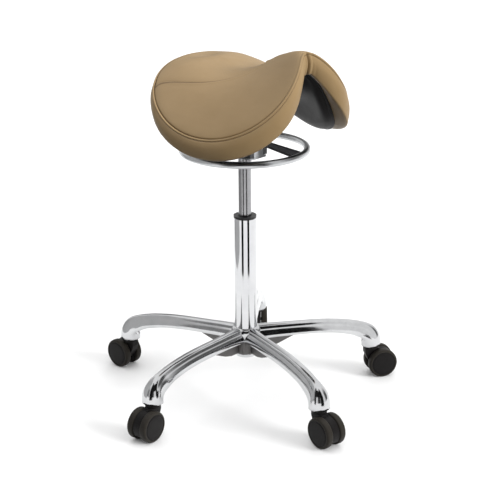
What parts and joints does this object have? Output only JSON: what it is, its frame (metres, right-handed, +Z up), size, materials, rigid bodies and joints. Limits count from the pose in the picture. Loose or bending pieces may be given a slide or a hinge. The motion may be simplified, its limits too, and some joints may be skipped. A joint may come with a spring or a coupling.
{
  "type": "saddle stool",
  "caption": "Tan leather saddle stool: tilting saddle seat over a ring that releases the gas lift, on a swivel column, star base and trailing twin-wheel castors.",
  "frame": {"origin": "on the floor, on the axis of the column and gas lift", "axes": "+Z up along the column, +X towards the pommel of the saddle (the way its user faces), +Y to that user's left"},
  "size_m": [0.6768, 0.6563, 0.7843],
  "materials": {
    "leather": "mid tan upholstery leather, fine grain, semi-matte",
    "shell": "charcoal moulded shell, fine texture",
    "zinc": "zinc-plated pressed steel",
    "pin_steel": "ground steel",
    "housing_grey": "light grey cast housing",
    "dark_metal": "dark charcoal painted steel",
    "ring_satin": "satin silver",
    "chrome": "bright chrome",
    "black_plastic": "black acetal",
    "steel": "plain steel",
    "rubber": "black rubber",
    "polished_aluminium": "polished casting, matte inside the sockets and under the hub",
    "castor_black": "black nylon, semi-gloss",
    "tread": "dark grey soft tread"
  },
  "bodies": {
    "base": {"star_base": "polished_aluminium", "column_tube": "chrome", "guide_bush": "black_plastic", "thrust_bearing": "steel", "castor_stems": "pin_steel", "stem_sleeves": "black_plastic"},
    "rod": {"piston_rod": "pin_steel", "piston": "steel", "retaining_clip": "steel", "bump_stop": "rubber"},
    "lift": {"pressure_tube": "chrome", "rod_guide": "black_plastic", "mechanism_housing": "housing_grey", "lever_pin": "pin_steel"},
    "ring": {"lift_ring": "ring_satin", "ring_spider": "dark_metal", "fork_pin": "pin_steel", "ring_pivot_pin": "pin_steel"},
    "lever": {"release_lever": "dark_metal"},
    "button": {"release_button": "steel"},
    "seat": {"seat_cushion": "leather", "seat_shell": "shell", "seat_bracket": "zinc", "bracket_screws": "zinc", "tilt_pin": "pin_steel"},
    "castor_1": {"castor_body_1": "castor_black", "castor_axle_1": "pin_steel"},
    "wheel_1a": {"wheel_core_1a": "castor_black", "tyre_1a": "tread"},
    "wheel_1b": {"wheel_core_1b": "castor_black", "tyre_1b": "tread"},
    "castor_2": {"castor_body_2": "castor_black", "castor_axle_2": "pin_steel"},
    "wheel_2a": {"wheel_core_2a": "castor_black", "tyre_2a": "tread"},
    "wheel_2b": {"wheel_core_2b": "castor_black", "tyre_2b": "tread"},
    "castor_3": {"castor_body_3": "castor_black", "castor_axle_3": "pin_steel"},
    "wheel_3a": {"wheel_core_3a": "castor_black", "tyre_3a": "tread"},
    "wheel_3b": {"wheel_core_3b": "castor_black", "tyre_3b": "tread"},
    "castor_4": {"castor_body_4": "castor_black", "castor_axle_4": "pin_steel"},
    "wheel_4a": {"wheel_core_4a": "castor_black", "tyre_4a": "tread"},
    "wheel_4b": {"wheel_core_4b": "castor_black", "tyre_4b": "tread"},
    "castor_5": {"castor_body_5": "castor_black", "castor_axle_5": "pin_steel"},
    "wheel_5a": {"wheel_core_5a": "castor_black", "tyre_5a": "tread"},
    "wheel_5b": {"wheel_core_5b": "castor_black", "tyre_5b": "tread"}
  },
  "joints": [
    {"name": "seat_swivel", "type": "hinge", "parent": "base", "child": "rod", "pos_m": [0, 0, 0.1], "axis": [0, 0, 1], "continuous": true},
    {"name": "seat_lift", "type": "slide", "parent": "rod", "child": "lift", "axis": [0, 0, 1], "range_m": [-0.13, 0]},
    {"name": "ring_tilt", "type": "hinge", "parent": "lift", "child": "ring", "pos_m": [-0.038, 0, 0.576], "axis": [0, -1, 0], "range_deg": [0, 1.45]},
    {"name": "lever_tilt", "type": "hinge", "parent": "lift", "child": "lever", "pos_m": [0.016, 0, 0.612], "axis": [0, -1, 0], "range_deg": [0, 7.2]},
    {"name": "button_press", "type": "slide", "parent": "lift", "child": "button", "axis": [0, 0, -1], "range_m": [0, 0.002], "stiffness_N_per_m": 3000},
    {"name": "seat_tilt", "type": "hinge", "parent": "lift", "child": "seat", "pos_m": [0, 0, 0.64], "axis": [0, 1, 0], "range_deg": [-8, 8]},
    {"name": "castor_swivel_1", "type": "hinge", "parent": "base", "child": "castor_1", "pos_m": [0.28218, -0.08252, 0.08], "axis": [0, 0, 1], "continuous": true},
    {"name": "wheel_spin_1a", "type": "hinge", "parent": "castor_1", "child": "wheel_1a", "pos_m": [0.30554, -0.08651, 0.0335], "axis": [-0.1685, -0.9857, 0], "continuous": true},
    {"name": "wheel_spin_1b", "type": "hinge", "parent": "castor_1", "child": "wheel_1b", "pos_m": [0.30554, -0.08651, 0.0335], "axis": [-0.1685, -0.9857, 0], "continuous": true},
    {"name": "castor_swivel_2", "type": "hinge", "parent": "base", "child": "castor_2", "pos_m": [0.16568, 0.24287, 0.08], "axis": [0, 0, 1], "continuous": true},
    {"name": "wheel_spin_2a", "type": "hinge", "parent": "castor_2", "child": "wheel_2a", "pos_m": [0.17852, 0.26279, 0.0335], "axis": [0.8406, -0.5417, 0], "continuous": true},
    {"name": "wheel_spin_2b", "type": "hinge", "parent": "castor_2", "child": "wheel_2b", "pos_m": [0.17852, 0.26279, 0.0335], "axis": [0.8406, -0.5417, 0], "continuous": true},
    {"name": "castor_swivel_3", "type": "hinge", "parent": "base", "child": "castor_3", "pos_m": [-0.17979, 0.23262, 0.08], "axis": [0, 0, 1], "continuous": true},
    {"name": "wheel_spin_3a", "type": "hinge", "parent": "castor_3", "child": "wheel_3a", "pos_m": [-0.19586, 0.25004, 0.0335], "axis": [0.7349, 0.6782, 0], "continuous": true},
    {"name": "wheel_spin_3b", "type": "hinge", "parent": "castor_3", "child": "wheel_3b", "pos_m": [-0.19586, 0.25004, 0.0335], "axis": [0.7349, 0.6782, 0], "continuous": true},
    {"name": "castor_swivel_4", "type": "hinge", "parent": "base", "child": "castor_4", "pos_m": [-0.27679, -0.09911, 0.08], "axis": [0, 0, 1], "continuous": true},
    {"name": "wheel_spin_4a", "type": "hinge", "parent": "castor_4", "child": "wheel_4a", "pos_m": [-0.30048, -0.09981, 0.0335], "axis": [-0.0297, 0.9996, 0], "continuous": true},
    {"name": "wheel_spin_4b", "type": "hinge", "parent": "castor_4", "child": "wheel_4b", "pos_m": [-0.30048, -0.09981, 0.0335], "axis": [-0.0297, 0.9996, 0], "continuous": true},
    {"name": "castor_swivel_5", "type": "hinge", "parent": "base", "child": "castor_5", "pos_m": [0.00872, -0.29387, 0.08], "axis": [0, 0, 1], "continuous": true},
    {"name": "wheel_spin_5a", "type": "hinge", "parent": "castor_5", "child": "wheel_5a", "pos_m": [0.01145, -0.31741, 0.0335], "axis": [-0.9934, -0.1149, 0], "continuous": true},
    {"name": "wheel_spin_5b", "type": "hinge", "parent": "castor_5", "child": "wheel_5b", "pos_m": [0.01145, -0.31741, 0.0335], "axis": [-0.9934, -0.1149, 0], "continuous": true}
  ],
  "couplings": [
    {"joint": "lever_tilt", "follows": "ring_tilt", "ratio": 4.857},
    {"joint": "button_press", "follows": "ring_tilt", "m_per_rad": 0.0777}
  ]
}
